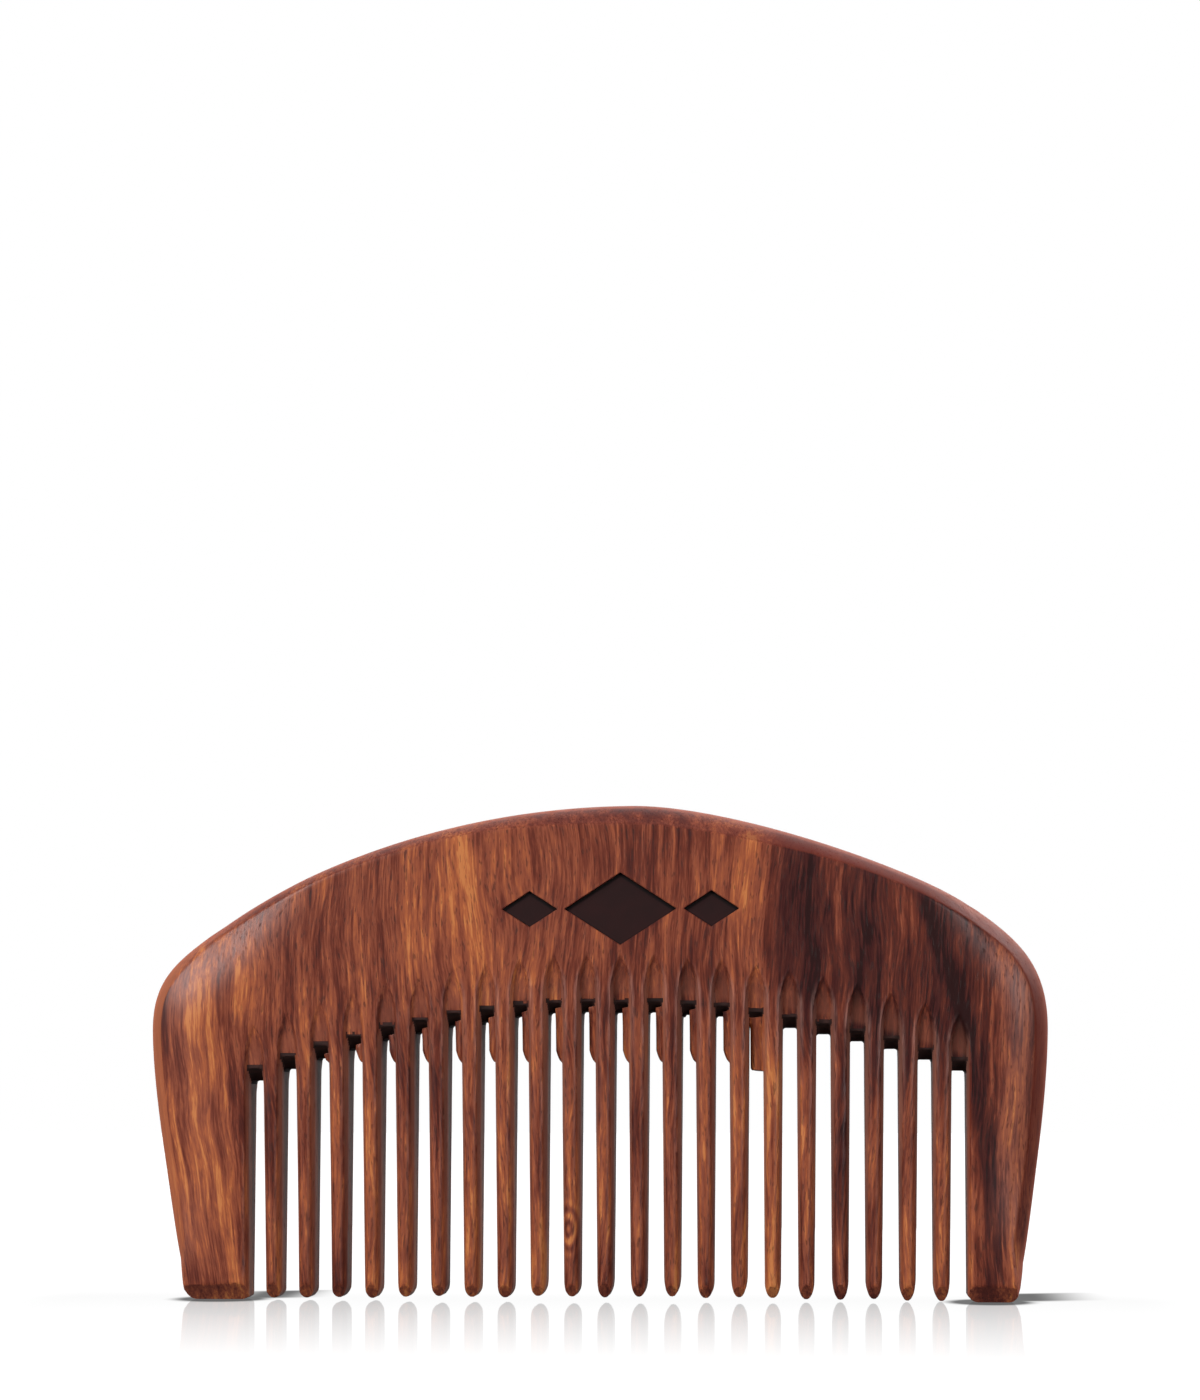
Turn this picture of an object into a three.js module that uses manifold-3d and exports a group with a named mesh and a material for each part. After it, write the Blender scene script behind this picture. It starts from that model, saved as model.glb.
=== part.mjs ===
// A wooden beard comb: an arched back, a guard at each end and a row of tapered teeth between them.
// Units are millimetres. X runs along the comb, the front face looks along -Y and Z is up.
// The comb stands on its two guards at z = 0, and x = 0 is halfway between its two ends.
import * as THREE from 'three';
import { mergeVertices } from 'three/addons/utils/BufferGeometryUtils.js';
import Module from 'manifold-3d';

const wasm = await Module();
wasm.setup();

// ---- Driving dimensions -------------------------------------------------------------------------

const HALF_WIDTH = 50;            // half of the comb's overall width
const HEIGHT = 54.85;              // feet to the top of the arch
const THICKNESS = 8;              // the back's thickness
const FOOT_THICKNESS = 5.2;       // the thickness that the taper would reach at z = 0
const TAPER_START = 34;           // height at which the board begins to thin towards the tips
const RIM = 2.4;                  // how far the rounded rim reaches in from the outline
const RIM_DEPTH = 2.2;            // how far the rim falls back from each face

const TOOTH_COUNT = 21;
const PITCH = 3.7;                // from one tooth to the next
const ROW_CENTRE = 1.2;           // x of the middle tooth: the left guard is the wider one
const ROOT_WIDTH = 2.2;           // a tooth's width where it joins the back
const TIP_WIDTH = 1.8;            // its width just above the rounded tip
const SLOT_WIDTH = PITCH - ROOT_WIDTH;
const TIP_LIFT = 0.45;            // the middle tooth stops this far above the guards' feet
const TIP_SAG = 0.3;              // and the outermost teeth reach this much lower than it
const TIP_LENGTH = 2.6;           // length of the rounded tip

const ARCH_TOP = 33.75;           // height of the slots' ends at the middle of their arch
const ARCH_DROP = 7.6;            // how much lower they are ARCH_REACH away from the middle
const ARCH_REACH = 40;
const ARCH_CENTRE = 2.7;
const ROOF_FALL = 1.7;            // each slot ends this much lower at the back than at the front
const ROOF_RUN = 2.6;             // the end falls over this much of the thickness and is level behind it
const SEAT_BELOW_ROOF = 0.3;      // a tooth's seat lies this far under the lower slot end beside it

const SCOOP_RISE = 5;             // the groove above each slot runs out this far up the face
const SCOOP_BELOW = 2;            // and begins this far under the slot's end
const SCOOP_HALF_WIDTH = 1.3;
const SCOOP_DEPTH = 0.75;

const FOOT_CHAMFER = 1.9;         // height of the front chamfer across the feet and tips
const FOOT_FRONT = -1.5;          // y at which that chamfer meets the flat foot
const FOOT_BACK = 2.1;            // y at which the back edge of the flat foot is broken
const FOOT_BREAK = 0.7;           // height of that broken edge

const MARK_CENTRE = [3, 43.2];    // x and z of the middle lozenge
const MARK_SIZE = [12.4, 8];      // width and height of the middle lozenge
const MARK_SPACING = 10;          // from the middle lozenge to each smaller one
const MARK_SMALL = 0.5;           // size of the smaller lozenges against the middle one
const POCKET_DEPTH = 0.7;
const INLAY_THICKNESS = 0.3;
const INLAY_CLEARANCE = 0.05;     // the gap all round an inlay in its pocket

const CURVE_STEPS = 14;           // straight steps in each stretch of the outline
const RIM_STEPS = 3;
const TOOTH_SIDES = 12;
const TOOTH_SQUARENESS = 3;       // power of the tooth's section: 2 is an ellipse, more is squarer
const REACH = 80;                 // a length past everything, for solids that only cut

// ---- Materials ----------------------------------------------------------------------------------

const wood = new THREE.MeshStandardMaterial({ color: 0x7f412d, roughness: 0.45, metalness: 0 });
const toothWood = new THREE.MeshStandardMaterial({ color: 0x8a4a2f, roughness: 0.45, metalness: 0 });
const darkFill = new THREE.MeshStandardMaterial({ color: 0x332020, roughness: 0.6, metalness: 0 });

// ---- Solids -------------------------------------------------------------------------------------

/** Turn a closed three.js geometry into a solid that can be joined and cut. */
function solid(geometry) {
  geometry.deleteAttribute('normal');
  geometry.deleteAttribute('uv');
  const merged = mergeVertices(geometry, 1e-4);
  return new wasm.Manifold(new wasm.Mesh({
    numProp: 3,
    vertProperties: new Float32Array(merged.attributes.position.array),
    triVerts: new Uint32Array(merged.index.array),
  }));
}

/** Turn a solid back into a three.js geometry. */
function geometryOf(body) {
  const mesh = body.getMesh();
  const geometry = new THREE.BufferGeometry();
  geometry.setAttribute('position', new THREE.BufferAttribute(mesh.vertProperties, 3));
  geometry.setIndex(new THREE.BufferAttribute(mesh.triVerts, 1));
  geometry.computeVertexNormals();
  return geometry;
}

/** A box from its lowest corner to its highest one. */
function box(low, high) {
  const size = high.map((value, axis) => value - low[axis]);
  const middle = high.map((value, axis) => (value + low[axis]) / 2);
  return solid(new THREE.BoxGeometry(...size).translate(...middle));
}

/** A polygon in the XZ plane, carried along Y from front to back. */
function prismAlongY(points, front, back) {
  const shape = new THREE.Shape(points.map(([x, z]) => new THREE.Vector2(x, z)));
  const geometry = new THREE.ExtrudeGeometry(shape, { depth: back - front, bevelEnabled: false });
  return solid(geometry.rotateX(Math.PI / 2).translate(0, back, 0));
}

/** A polygon in the YZ plane, carried along X from left to right. */
function prismAlongX(points, left, right) {
  const shape = new THREE.Shape(points.map(([y, z]) => new THREE.Vector2(y, z)));
  const geometry = new THREE.ExtrudeGeometry(shape, { depth: right - left, bevelEnabled: false });
  const turn = new THREE.Matrix4().makeBasis(
    new THREE.Vector3(0, 1, 0), new THREE.Vector3(0, 0, 1), new THREE.Vector3(1, 0, 0));
  return solid(geometry.applyMatrix4(turn).translate(left, 0, 0));
}

// ---- Shape rules --------------------------------------------------------------------------------

const slotX = (slot) => ROW_CENTRE + (slot - TOOTH_COUNT / 2) * PITCH;
const toothX = (tooth) => ROW_CENTRE + (tooth - (TOOTH_COUNT - 1) / 2) * PITCH;

/** Height of a slot's end at the front face. */
const archHeight = (x) => ARCH_TOP - ARCH_DROP * ((x - ARCH_CENTRE) / ARCH_REACH) ** 2;

/** Height of the plane where a tooth between two slots meets the back. */
const seatHeight = (leftSlot, rightSlot) =>
  Math.min(archHeight(slotX(leftSlot)), archHeight(slotX(rightSlot))) - ROOF_FALL - SEAT_BELOW_ROOF;

/** Half of the board's thickness at a height. */
function halfThickness(z) {
  const share = Math.min(z / TAPER_START, 1);
  return THREE.MathUtils.lerp(FOOT_THICKNESS, THICKNESS, share) / 2;
}

// ---- The board that the comb is cut from --------------------------------------------------------

/** The comb's outline, carried on below the feet so that the rim runs straight off the board. */
function outline() {
  const below = -8;
  const shape = new THREE.Shape();
  shape.moveTo(-45.9, below);
  shape.lineTo(-46.2, 1);
  shape.bezierCurveTo(-47.8, 10, -HALF_WIDTH, 22.6, -HALF_WIDTH, 30);
  shape.bezierCurveTo(-HALF_WIDTH, 35.5, -47.6, 37.6, -43.2, 40.8);
  shape.bezierCurveTo(-29.2, 50, -12.1, HEIGHT, 4.3, HEIGHT);
  shape.bezierCurveTo(14.5, HEIGHT, 34.1, 48.2, 42.1, 43.2);
  shape.bezierCurveTo(46.9, 39.9, HALF_WIDTH, 36.9, HALF_WIDTH, 30);
  shape.bezierCurveTo(HALF_WIDTH, 22, 48.3, 10.5, 46.8, 1);
  shape.lineTo(46.6, below);
  shape.closePath();
  return shape;
}

/** The outline with a rounded rim on both faces, at the back's full thickness. */
function fullBoard() {
  const geometry = new THREE.ExtrudeGeometry(outline(), {
    depth: THICKNESS - 2 * RIM_DEPTH,
    curveSegments: CURVE_STEPS,
    bevelThickness: RIM_DEPTH,
    bevelSize: RIM,
    bevelOffset: -RIM,
    bevelSegments: RIM_STEPS,
  });
  return solid(geometry.rotateX(Math.PI / 2).translate(0, THICKNESS / 2 - RIM_DEPTH, 0));
}

/** The board seen from its end: thinner towards the feet, with the front chamfer across them. */
function sideProfile() {
  const chamferHalf = halfThickness(FOOT_CHAMFER);
  const half = THICKNESS / 2;
  const points = [
    [FOOT_FRONT, 0], [FOOT_BACK, 0], [halfThickness(FOOT_BREAK), FOOT_BREAK],
    [half, TAPER_START], [half, REACH], [-half, REACH], [-half, TAPER_START],
    [-chamferHalf, FOOT_CHAMFER],
  ];
  return prismAlongX(points, -REACH, REACH);
}

/** A broad clip that bevels the outer corners of the two feet. */
function footClip() {
  const points = [
    [-45.2, -1], [46.2, -1], [46.2, 0], [47.1, 2.4], [REACH, 40], [REACH, REACH],
    [-REACH, REACH], [-REACH, 40], [-46.5, 2.4], [-45.2, 0],
  ];
  return prismAlongY(points, -REACH, REACH);
}

const board = fullBoard().intersect(sideProfile()).intersect(footClip());

// ---- The back -----------------------------------------------------------------------------------

/** One slot, with its end falling away behind the front face. */
function slotCutter(slot) {
  const top = archHeight(slotX(slot));
  const slope = ROOF_FALL / ROOF_RUN;
  const margin = 2;
  const half = THICKNESS / 2;
  const points = [
    [-half - margin, -1], [half + margin, -1], [half + margin, top - ROOF_FALL],
    [-half + ROOF_RUN, top - ROOF_FALL], [-half - margin, top + slope * margin],
  ];
  return prismAlongX(points, slotX(slot) - SLOT_WIDTH / 2, slotX(slot) + SLOT_WIDTH / 2);
}

/** The groove that runs out above a slot, as a flattened cone lying in the face. side is -1 at the front. */
function scoopCutter(slot, side) {
  const end = archHeight(slotX(slot)) - (side > 0 ? ROOF_FALL : 0);
  const length = SCOOP_RISE + SCOOP_BELOW;
  const sides = 8;
  const geometry = new THREE.CylinderGeometry(0.05, 1, length, sides)
    .rotateX(Math.PI / 2)
    .scale(SCOOP_HALF_WIDTH, SCOOP_DEPTH, 1)
    .translate(slotX(slot), side * halfThickness(end), end + SCOOP_RISE - length / 2);
  return solid(geometry);
}

/** A lozenge in the XZ plane, grown or shrunk by a margin on each side. */
function lozenge(place, scale, margin) {
  const x = MARK_CENTRE[0] + place * MARK_SPACING;
  const z = MARK_CENTRE[1];
  const halfWidth = MARK_SIZE[0] / 2 * scale - margin * Math.hypot(...MARK_SIZE) / MARK_SIZE[1];
  const halfHeight = MARK_SIZE[1] / 2 * scale - margin * Math.hypot(...MARK_SIZE) / MARK_SIZE[0];
  return [[x - halfWidth, z], [x, z - halfHeight], [x + halfWidth, z], [x, z + halfHeight]];
}

const marks = [
  { name: 'inlay_left', place: -1, scale: MARK_SMALL },
  { name: 'inlay_centre', place: 0, scale: 1 },
  { name: 'inlay_right', place: 1, scale: MARK_SMALL },
];

/** Everything below the seats, which the teeth and guards take up. */
function belowTheSeats() {
  const parts = [];
  for (let tooth = 0; tooth < TOOTH_COUNT; tooth += 1) {
    const top = seatHeight(tooth, tooth + 1);
    parts.push(box([slotX(tooth), -REACH, -REACH], [slotX(tooth + 1), REACH, top]));
  }
  parts.push(box([-REACH, -REACH, -REACH], [slotX(0), REACH, seatHeight(0, 0)]));
  parts.push(box([slotX(TOOTH_COUNT), -REACH, -REACH], [REACH, REACH, seatHeight(TOOTH_COUNT, TOOTH_COUNT)]));
  return wasm.Manifold.union(parts);
}

function backSolid() {
  const cutters = [belowTheSeats()];
  for (let slot = 0; slot <= TOOTH_COUNT; slot += 1) {
    cutters.push(slotCutter(slot), scoopCutter(slot, -1), scoopCutter(slot, 1));
  }
  const front = -THICKNESS / 2;
  for (const { place, scale } of marks) {
    cutters.push(prismAlongY(lozenge(place, scale, 0), front - 1, front + POCKET_DEPTH));
  }
  return board.subtract(wasm.Manifold.union(cutters));
}

// ---- The guards, teeth and inlays ---------------------------------------------------------------

function guardSolid(left, right, seat) {
  return board.intersect(box([left, -REACH, -1], [right, REACH, seat]));
}

/** Height of a tooth's tip: the row of tips bows up a little between the guards. */
function tipHeight(tooth) {
  const middle = (TOOTH_COUNT - 1) / 2;
  return TIP_LIFT - TIP_SAG * ((tooth - middle) / middle) ** 2;
}

/** Half width and front and back faces of a tooth at a height. */
function toothSection(z, tip, seat) {
  const straight = tip + TIP_LENGTH;
  const share = Math.max(z - straight, 0) / (seat - straight);
  const roundness = Math.min((straight - z) / TIP_LENGTH, 1);
  const closing = z < straight ? Math.sqrt(1 - 0.86 * roundness ** 2) : 1;
  const middle = 0.25;
  const halfDepth = halfThickness(z) - 0.1;
  return {
    halfWidth: THREE.MathUtils.lerp(TIP_WIDTH, ROOT_WIDTH, share) / 2 * closing,
    front: THREE.MathUtils.lerp(middle, -halfDepth, closing),
    back: THREE.MathUtils.lerp(middle, halfDepth, closing),
  };
}

/** A tooth: a tapered bar of rounded section that closes to a blunt round tip. */
function toothGeometry(tooth) {
  const seat = seatHeight(tooth, tooth + 1);
  const tipRings = [0, 0.12, 0.32, 0.62, 1];
  const tip = tipHeight(tooth);
  const heights = [...tipRings.map((share) => tip + share * TIP_LENGTH), seat];
  const geometry = new THREE.CylinderGeometry(1, 1, 1, TOOTH_SIDES, heights.length - 1).rotateX(Math.PI / 2);
  const points = geometry.attributes.position;
  const squared = (value) => Math.sign(value) * Math.abs(value) ** (2 / TOOTH_SQUARENESS);
  for (let i = 0; i < points.count; i += 1) {
    const ring = Math.round((points.getZ(i) + 0.5) * (heights.length - 1));
    const z = heights[ring];
    const section = toothSection(z, tip, seat);
    const y = squared(points.getY(i));
    const half = (section.back - section.front) / 2;
    points.setXYZ(i, squared(points.getX(i)) * section.halfWidth, section.front + half + y * half, z);
  }
  return geometryOf(solid(geometry));
}

/** An inlay: a thin lozenge that lies on the floor of its pocket. */
function inlaySolid(place, scale) {
  const floor = -THICKNESS / 2 + POCKET_DEPTH;
  return prismAlongY(lozenge(place, scale, INLAY_CLEARANCE), floor - INLAY_THICKNESS, floor);
}

// ---- The comb -----------------------------------------------------------------------------------

const comb = new THREE.Group();

function addPiece(name, geometry, material, x = 0) {
  const mesh = new THREE.Mesh(geometry, material.clone());
  mesh.name = name;
  mesh.position.x = x;
  comb.add(mesh);
}

addPiece('comb_back', geometryOf(backSolid()), wood);

const leftInner = slotX(0) - SLOT_WIDTH / 2;
const rightInner = slotX(TOOTH_COUNT) + SLOT_WIDTH / 2;
addPiece('left_guard', geometryOf(guardSolid(-REACH, leftInner, seatHeight(0, 0))), wood);
addPiece('right_guard', geometryOf(guardSolid(rightInner, REACH, seatHeight(TOOTH_COUNT, TOOTH_COUNT))), wood);

for (let tooth = 0; tooth < TOOTH_COUNT; tooth += 1) {
  const name = `tooth_${String(tooth + 1).padStart(2, '0')}`;
  addPiece(name, toothGeometry(tooth), toothWood, toothX(tooth));
}

for (const { name, place, scale } of marks) {
  addPiece(name, geometryOf(inlaySolid(place, scale)), darkFill);
}

export default comb;
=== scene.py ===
"""A wooden beard comb, standing on a white studio floor.

The CAD frame gives the size and place of every node. The comb's fine surface is one field, from which the
back, the two guards and the teeth are meshed together and then parted on the CAD nodes' own seat heights,
so that the grain and the surface run on from one piece to the next. Lengths are in millimetres until a
mesh is made, and in metres after that.
"""
import math

import bmesh
import bpy
import numpy as np
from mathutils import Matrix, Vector


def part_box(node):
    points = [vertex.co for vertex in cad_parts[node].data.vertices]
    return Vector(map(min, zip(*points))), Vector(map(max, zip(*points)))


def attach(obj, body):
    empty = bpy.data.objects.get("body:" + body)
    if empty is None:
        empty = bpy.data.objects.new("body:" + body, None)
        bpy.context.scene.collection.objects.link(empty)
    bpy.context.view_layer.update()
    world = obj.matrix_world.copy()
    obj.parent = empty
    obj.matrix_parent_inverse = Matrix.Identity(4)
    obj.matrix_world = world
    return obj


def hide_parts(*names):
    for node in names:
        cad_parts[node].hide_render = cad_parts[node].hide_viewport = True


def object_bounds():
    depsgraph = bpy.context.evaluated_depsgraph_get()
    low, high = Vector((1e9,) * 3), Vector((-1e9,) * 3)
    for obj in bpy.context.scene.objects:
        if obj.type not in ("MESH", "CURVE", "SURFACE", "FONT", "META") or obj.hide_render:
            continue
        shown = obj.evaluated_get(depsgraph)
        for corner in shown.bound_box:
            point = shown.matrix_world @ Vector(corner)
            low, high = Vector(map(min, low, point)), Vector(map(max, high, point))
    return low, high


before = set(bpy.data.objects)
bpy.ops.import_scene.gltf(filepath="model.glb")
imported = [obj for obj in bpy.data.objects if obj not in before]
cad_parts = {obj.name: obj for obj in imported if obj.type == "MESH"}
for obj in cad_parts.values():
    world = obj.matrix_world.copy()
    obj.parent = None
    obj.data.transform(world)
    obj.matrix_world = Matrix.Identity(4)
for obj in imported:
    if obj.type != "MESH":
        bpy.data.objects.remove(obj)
cad_low, cad_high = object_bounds()
MM = 0.001


def box_mm(node):
    """A node's lowest and highest corners in millimetres."""
    low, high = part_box(node)
    return np.array(low) / MM, np.array(high) / MM


# ---- Places and sizes, from the frame ---------------------------------------------------------------

TEETH = sorted(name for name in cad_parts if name.startswith("tooth_"))
INLAYS = ["inlay_left", "inlay_centre", "inlay_right"]
tooth_boxes = [box_mm(name) for name in TEETH]
tooth_x = np.array([(low[0] + high[0]) / 2 for low, high in tooth_boxes])
tooth_seat = np.array([high[2] for low, high in tooth_boxes])
tip_z = np.array([low[2] for low, high in tooth_boxes])
root_half = (tooth_boxes[0][1][0] - tooth_boxes[0][0][0]) / 2
pitch = (tooth_x[-1] - tooth_x[0]) / (len(TEETH) - 1)
left_inner = box_mm("left_guard")[1][0]
right_inner = box_mm("right_guard")[0][0]
guard_seat = (box_mm("left_guard")[1][2], box_mm("right_guard")[1][2])
slot_x = np.append(tooth_x - pitch / 2, tooth_x[-1] + pitch / 2)
SLOT_HALF = pitch / 2 - root_half    # half the width of a slot at its end
SCOOP_HALF = SLOT_HALF + 0.5         # half the width of a scoop there
ROW_CENTRE = (slot_x[0] + slot_x[-1]) / 2
ROW_HALF = (slot_x[-1] - slot_x[0]) / 2

# ---- Shape of the comb -------------------------------------------------------------------------------

HALF_WIDTH = 50.0
HEIGHT = 54.85
HALF_BACK = 4.0              # half the thickness above the slots
HALF_FOOT = 2.6              # half the thickness that the taper would reach at z = 0
TAPER_START = 34.0
TIP_HALF = 0.9               # half a tooth's width just above its tip
TIP_RADIUS = 0.85
ARCH_TOP = 33.75             # the slots' ends lie on an arch that is this high ...
ARCH_CENTRE = 2.7            # ... at this x ...
ARCH_DROP = 7.6              # ... and this much lower ...
ARCH_REACH = 40.0            # ... this far to either side
ROOF_FALL = 1.7              # how much lower a slot ends at the back than at the front
ROOF_RUN = 2.6               # the end falls over this much of the thickness and is level behind it
SCOOP_RISE = 5.0             # how far a scoop runs up the face above its slot
SCOOP_DEPTH = 0.95
SCOOP_FLANK = 0.55           # width of a scoop's sloping side
BACK_SCOOP = 0.9             # depth of the back's scoops, as a share of the deepest in front
TOOTH_ROUND = (0.50, 0.85)   # radius along the teeth's edges, at their roots and at their tips
TOOTH_CROWN = 0.30           # how much lower a tooth's face is along its edges than down its middle
END_REACH = (8.0, 6.5)       # how far in from the outline the faces fall away, at the left and right ends
END_FALL = (2.1, 1.9)        # how far they fall there
WAVER = 0.035                # how far hand sanding has left the front face wavering
RIM_PITCH = 0.88             # how far the rim's bevel falls back for its width
RIM_LIMIT = 0.6              # how much of the half thickness the bevel may take
RIM_ROUND = 1.5              # reach of the rounding between rim and outline
FACE_ROUND = 0.14            # reach of the rounding between rim and faces
ROOF_ROUND = 0.3             # radius in the corners of a slot's end
CHAMFER_HEIGHT = 1.9         # of the front chamfer across the feet and tips
CHAMFER_FOOT = -1.5          # y where it meets the flat foot
LEFT_TOE, RIGHT_TOE = -45.2, 46.2      # x at which the feet's outer corners reach the ground
TOE_ROUND = 0.5              # reach of the rounding between a foot's two cut corners
FOOT_ROUND = 0.7             # and between those corners and the flat foot
FOOT_ZONE = 8.0              # height below which tips and feet are shaped
POCKET_DEPTH = 0.7
CELL = 0.26                  # size of the cells that the surface is meshed in

# A bezier outline in x and z: a start, then two handles and an end for each stretch.
OUTLINE_START = (-45.9, -8.0)
OUTLINE = [
    ((-46.0, -5.0), (-46.1, -2.0), (-46.2, 1.0)),
    ((-47.8, 10.0), (-HALF_WIDTH, 22.6), (-HALF_WIDTH, 30.0)),
    ((-HALF_WIDTH, 35.5), (-47.6, 37.6), (-43.2, 40.8)),
    ((-29.2, 50.0), (-12.1, HEIGHT), (4.3, HEIGHT)),
    ((14.5, HEIGHT), (34.1, 48.2), (42.1, 43.2)),
    ((46.9, 39.9), (HALF_WIDTH, 36.9), (HALF_WIDTH, 30.0)),
    ((HALF_WIDTH, 22.0), (48.3, 10.5), (46.8, 1.0)),
    ((46.7, -2.0), (46.6, -5.0), (46.6, -8.0)),
]


def bezier_points(start, stretches, steps=48):
    """Points along a chain of cubic stretches."""
    points = [np.array(start)]
    for handle_a, handle_b, end in stretches:
        a, b, c, d = points[-1], np.array(handle_a), np.array(handle_b), np.array(end)
        for t in np.linspace(0, 1, steps + 1)[1:]:
            s = 1 - t
            points.append(s**3 * a + 3 * s * s * t * b + 3 * s * t * t * c + t**3 * d)
    return np.array(points)


def smooth_step(low, high, value):
    """0 at one end of a range and 1 at the other, with an S-curve between."""
    t = np.clip((value - low) / (high - low), 0, 1)
    return t * t * (3 - 2 * t)


def soft_max(a, b, reach):
    """The larger of two fields, with the edge between them rounded over a reach."""
    overlap = np.maximum(reach - np.abs(a - b), 0) / reach
    return np.maximum(a, b) + overlap * overlap * reach / 4


def round_max(a, b, radius):
    """The larger of two fields, with a true quarter-round of a radius between them."""
    inside = np.minimum(np.maximum(a, b), -radius)
    return inside + np.hypot(np.maximum(a + radius, 0), np.maximum(b + radius, 0))


class OutlineDistance:
    """Signed distance from the outline in x and z, kept on a grid and read between its nodes."""

    STEP = 0.25

    def __init__(self):
        self.low = np.array([-54.0, -10.0])
        count = np.array([433, 273])
        xs = self.low[0] + self.STEP * np.arange(count[0])
        zs = self.low[1] + self.STEP * np.arange(count[1])
        x, z = np.meshgrid(xs, zs, indexing="ij")
        points = bezier_points(OUTLINE_START, OUTLINE)
        nearest = np.full(x.shape, 1e9)
        inside = np.zeros(x.shape, bool)
        for a, b in zip(points, np.roll(points, -1, axis=0)):
            run = b - a
            t = np.clip(((x - a[0]) * run[0] + (z - a[1]) * run[1]) / (run @ run), 0, 1)
            nearest = np.minimum(nearest, np.hypot(x - a[0] - t * run[0], z - a[1] - t * run[1]))
            if a[1] != b[1]:
                crosses = ((a[1] > z) != (b[1] > z)) & (x < a[0] + (z - a[1]) * run[0] / run[1])
                inside ^= crosses
        self.grid = np.where(inside, -nearest, nearest)

    def __call__(self, x, z):
        i = np.clip((x - self.low[0]) / self.STEP, 0, self.grid.shape[0] - 1.001)
        k = np.clip((z - self.low[1]) / self.STEP, 0, self.grid.shape[1] - 1.001)
        i0, k0 = i.astype(int), k.astype(int)
        share_x, share_z = i - i0, k - k0
        low = self.grid[i0, k0] * (1 - share_x) + self.grid[i0 + 1, k0] * share_x
        high = self.grid[i0, k0 + 1] * (1 - share_x) + self.grid[i0 + 1, k0 + 1] * share_x
        return low * (1 - share_z) + high * share_z


outline_distance = OutlineDistance()
slot_top = ARCH_TOP - ARCH_DROP * ((slot_x - ARCH_CENTRE) / ARCH_REACH) ** 2

# Hand work leaves no two teeth alike: each tip and each slot's end is a little off its place.
rng = np.random.default_rng(21)
tip_lift = tip_z + rng.uniform(-0.1, 0.1, len(TEETH))
tooth_sway = rng.uniform(-0.06, 0.06, len(TEETH))
slot_extra = rng.uniform(-0.12, 0.12, len(slot_x))
tip_stretch = np.linspace(2.0, 3.0, len(TEETH)) + rng.uniform(-0.4, 0.4, len(TEETH))

# The scoops are only touched in at the left and are cut deeper from the middle on.
scoop_share = 0.55 + 0.45 * np.clip((np.arange(len(slot_x)) - 5) / 4, 0, 1)

# Part of the way back in these slots the wall to their right stands proud, down to a curved end.
# One slot is closed by a web instead.
LEDGE_SLOTS = range(2, 15)
WEB_SLOT = 15
LEDGE = 0.68
WEB = 1.4
LEDGE_FRONT = -3.0           # y at which the ledges begin
LEDGE_DROP = (1.15, 1.35)    # how far below the slot's end they begin and reach their full width
ledge_width = np.zeros(len(slot_x))
ledge_width[list(LEDGE_SLOTS)] = LEDGE
ledge_width[WEB_SLOT] = WEB
ledge_end = np.full(len(slot_x), 26.4)
ledge_end[WEB_SLOT] = 25.4
ledge_curve = np.full(len(slot_x), 1.3)
ledge_curve[WEB_SLOT] = 0.15


def half_thickness(z):
    """Half the board's thickness at a height, easing from the taper into the flat back."""
    share = soft_max(1 - z / TAPER_START, np.zeros_like(z), 0.12)
    return HALF_BACK - (HALF_BACK - HALF_FOOT) * share


def rim_width(x, z):
    """How far the bevelled rim reaches in from the outline: widest at the top, and gone at the feet."""
    top = 0.9 * np.exp(-(((x - 6) / 16) ** 2))
    sides = 0.5 * smooth_step(-30, 10, x) + 0.4 * smooth_step(-42, -47, x)
    return 0.2 + (0.9 + top + sides) * smooth_step(0.5, 7, z)


def end_fall(edge, x, z):
    """How far the faces fall away towards the comb's two rounded ends."""
    left, right = smooth_step(-30, -43, x), smooth_step(36, 45, x)
    near = np.clip(1 + edge / np.where(x < 0, *END_REACH), 0, 1)
    fall = np.where(x < 0, END_FALL[0] * left, END_FALL[1] * right)
    return fall * near**2 * (0.05 + 0.95 * smooth_step(1, 16, z))


def nearest_slot(x):
    return np.clip(np.rint((x - slot_x[0]) / pitch), 0, len(slot_x) - 1).astype(int)


def nearest_tooth(x):
    return np.clip(np.rint((x - tooth_x[0]) / pitch), 0, len(TEETH) - 1).astype(int)


def tooth_taper(z):
    """How far up a tooth a height is, from 0 at the ground to 1 at the top of the arch."""
    return np.clip(z / ARCH_TOP, 0, 1)


def tooth_half_width(z):
    return TIP_HALF + (root_half - TIP_HALF) * tooth_taper(z)


def scoop(u, z, top, depth):
    """How far the face falls away beside and above a slot, at a distance u from the slot's middle line."""
    rise = np.clip((z - top) / SCOOP_RISE, 0, 1)
    width = SCOOP_HALF * (1 - rise**2.2)
    across = 1 - smooth_step(width - SCOOP_FLANK, width, np.abs(u))
    return depth * (0.6 + 0.4 * np.clip(z / top, 0, 1)) * (1 - rise**1.5) * across


def roof_height(slot, y, half):
    """Height of a slot's end across the board's thickness."""
    share = np.clip((y + half) / ROOF_RUN, 0, 1)
    return slot_top[slot] + slot_extra[slot] - ROOF_FALL * share


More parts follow.
